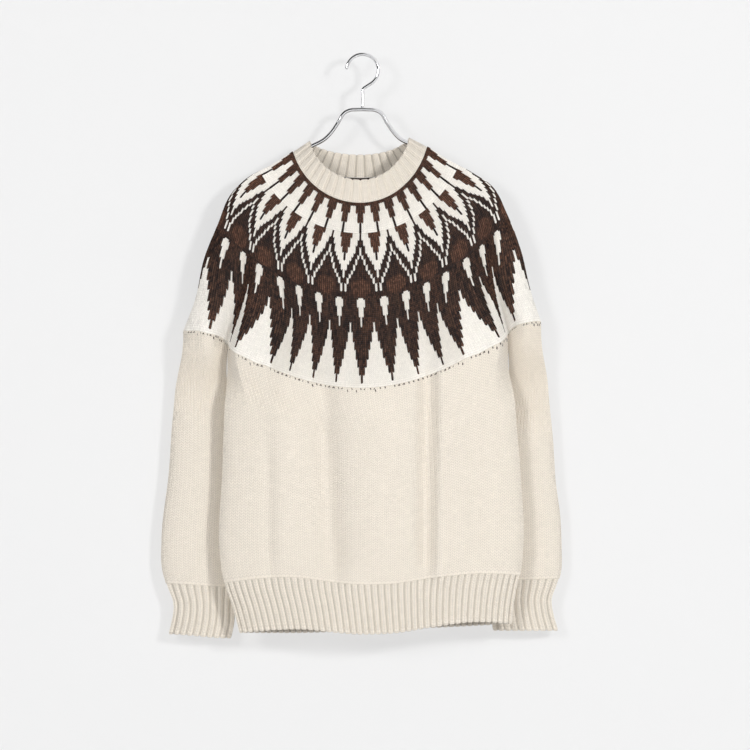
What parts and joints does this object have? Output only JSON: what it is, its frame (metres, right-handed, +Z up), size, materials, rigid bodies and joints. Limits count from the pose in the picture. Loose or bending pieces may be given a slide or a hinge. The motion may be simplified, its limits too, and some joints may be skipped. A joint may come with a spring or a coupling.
{
  "type": "nordic yoke sweater on a wire clothes hanger",
  "caption": "Loose knitted pullover with a round colourwork yoke and ribbed collar, hem and cuffs, hanging on a bent wire hanger with a hook.",
  "frame": {"origin": "underside of the hanger hook's crown, where the hook rests on a rail", "axes": "+Z up, the sweater's front faces -Y, +X is to the right as seen from the front"},
  "size_m": [0.5698, 0.1049, 0.8309],
  "materials": {
    "plain_wool": "matt cream wool, plain knit",
    "rib_wool": "matt cream wool, ribbed",
    "yoke_wool": "matt brown and off-white wool colourwork",
    "hanger_metal": "polished"
  },
  "bodies": {
    "root": {"collar_front": "rib_wool", "collar_back": "rib_wool", "yoke_front": "yoke_wool", "yoke_back": "yoke_wool", "body_front": "plain_wool", "body_back": "plain_wool", "hem_front": "rib_wool", "hem_back": "rib_wool", "sleeve_left": "plain_wool", "sleeve_right": "plain_wool", "cuff_left": "rib_wool", "cuff_right": "rib_wool", "hanger_rod": "hanger_metal", "hanger_hook": "hanger_metal"}
  },
  "joints": []
}
